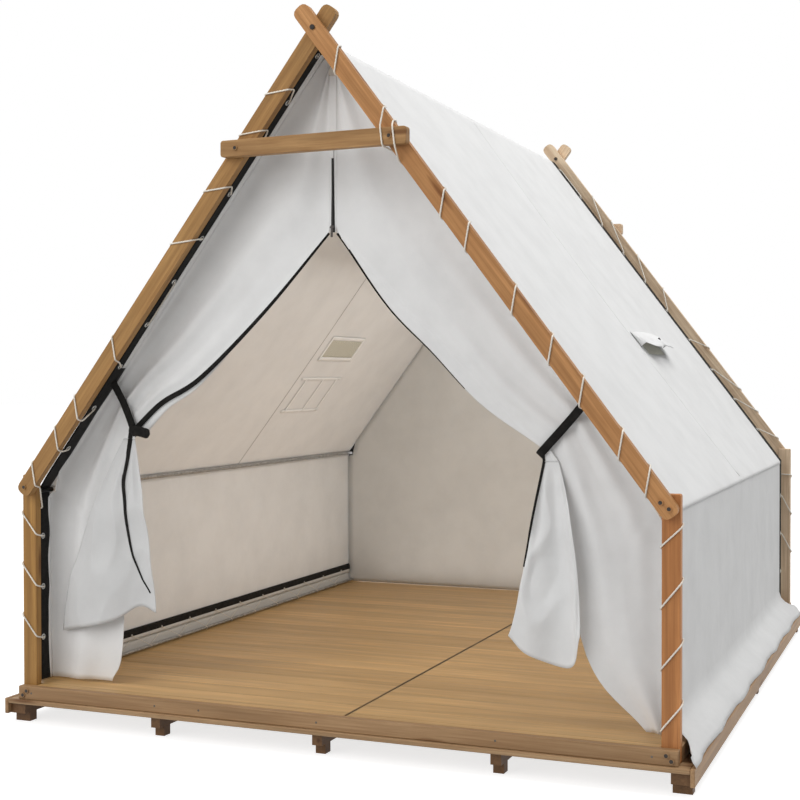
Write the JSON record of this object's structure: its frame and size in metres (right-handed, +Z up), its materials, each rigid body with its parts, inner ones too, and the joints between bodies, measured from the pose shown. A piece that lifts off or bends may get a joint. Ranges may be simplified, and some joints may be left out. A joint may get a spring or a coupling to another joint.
{
  "type": "a-frame glamping tent",
  "caption": "A-frame glamping tent: canvas body laced to two bolted timber frames on a plank deck, with its door leaves tied back.",
  "frame": {"origin": "on the ground under the middle of the deck", "axes": "+Z up, the entrance faces -Y, +X to the right of someone who looks in at the entrance"},
  "size_m": [3.1394, 3.8494, 3.108],
  "materials": {
    "timber": "oiled pine, ochre to orange-brown",
    "sole_timber": "darker weathered timber",
    "planks": "grooved floor boards",
    "canvas": "white coated canvas",
    "webbing": "black woven webbing",
    "rope": "off-white braided rope",
    "steel": "galvanised",
    "bolt_steel": "dark zinc"
  },
  "bodies": {
    "tent": {"front_left_post": "timber", "front_right_post": "timber", "rear_left_post": "timber", "rear_right_post": "timber", "front_left_rafter": "timber", "front_right_rafter": "timber", "rear_left_rafter": "timber", "rear_right_rafter": "timber", "front_collar_tie": "timber", "rear_collar_tie": "timber", "front_rim": "timber", "rear_rim": "timber", "left_rim": "timber", "right_rim": "timber", "left_fascia": "timber", "right_fascia": "timber", "front_sole": "sole_timber", "rear_sole": "sole_timber", "bearer_far_left": "sole_timber", "bearer_left": "sole_timber", "bearer_middle": "sole_timber", "bearer_right": "sole_timber", "bearer_far_right": "sole_timber", "floor_panel_left": "planks", "floor_panel_right": "planks", "roof_left": "canvas", "roof_right": "canvas", "side_wall_left": "canvas", "side_wall_right": "canvas", "rear_wall": "canvas", "door_leaf_left": "canvas", "door_leaf_right": "canvas", "front_edge_webbing": "webbing", "rear_edge_webbing": "webbing", "floor_strip_left": "webbing", "floor_strip_right": "webbing", "tie_back_strap_left": "webbing", "tie_back_strap_right": "webbing", "zip_coil": "webbing", "front_left_lace": "rope", "front_right_lace": "rope", "rear_left_lace": "rope", "rear_right_lace": "rope", "floor_lace_left": "rope", "floor_lace_right": "rope", "ridge_pole": "steel", "eave_pole_left": "steel", "eave_pole_right": "steel", "floor_rail_left": "steel", "floor_rail_right": "steel", "front_apex_bolt": "bolt_steel", "rear_apex_bolt": "bolt_steel"},
    "zip_slider_body": {"zip_slider": "steel"},
    "zip_pull_body": {"zip_pull": "steel"},
    "vent_hood_left_body": {"vent_hood_left": "canvas"},
    "vent_hood_right_body": {"vent_hood_right": "canvas"},
    "door_flap_left_body": {"door_flap_left": "canvas"},
    "door_flap_right_body": {"door_flap_right": "canvas"}
  },
  "joints": [
    {"name": "zip_slide", "type": "slide", "parent": "tent", "child": "zip_slider_body", "axis": [0, 0, 1], "range_m": [0, 0.32]},
    {"name": "zip_pull_swing", "type": "hinge", "parent": "zip_slider_body", "child": "zip_pull_body", "pos_m": [0, -1.6951, 2.208], "axis": [-1, 0, 0], "range_deg": [0, 150]},
    {"name": "vent_hood_left_tilt", "type": "hinge", "parent": "tent", "child": "vent_hood_left_body", "pos_m": [-0.86876, 0.42, 1.81177], "axis": [0, 1, 0], "range_deg": [-18, 15]},
    {"name": "vent_hood_right_tilt", "type": "hinge", "parent": "tent", "child": "vent_hood_right_body", "pos_m": [0.86876, 0.42, 1.81177], "axis": [0, -1, 0], "range_deg": [-18, 15]},
    {"name": "door_flap_left_swing", "type": "hinge", "parent": "tent", "child": "door_flap_left_body", "pos_m": [-1.015, -1.6848, 1.295], "axis": [-1, 0, 0], "range_deg": [0, 35]},
    {"name": "door_flap_right_swing", "type": "hinge", "parent": "tent", "child": "door_flap_right_body", "pos_m": [0.96, -1.6848, 1.235], "axis": [-1, 0, 0], "range_deg": [0, 35]}
  ]
}
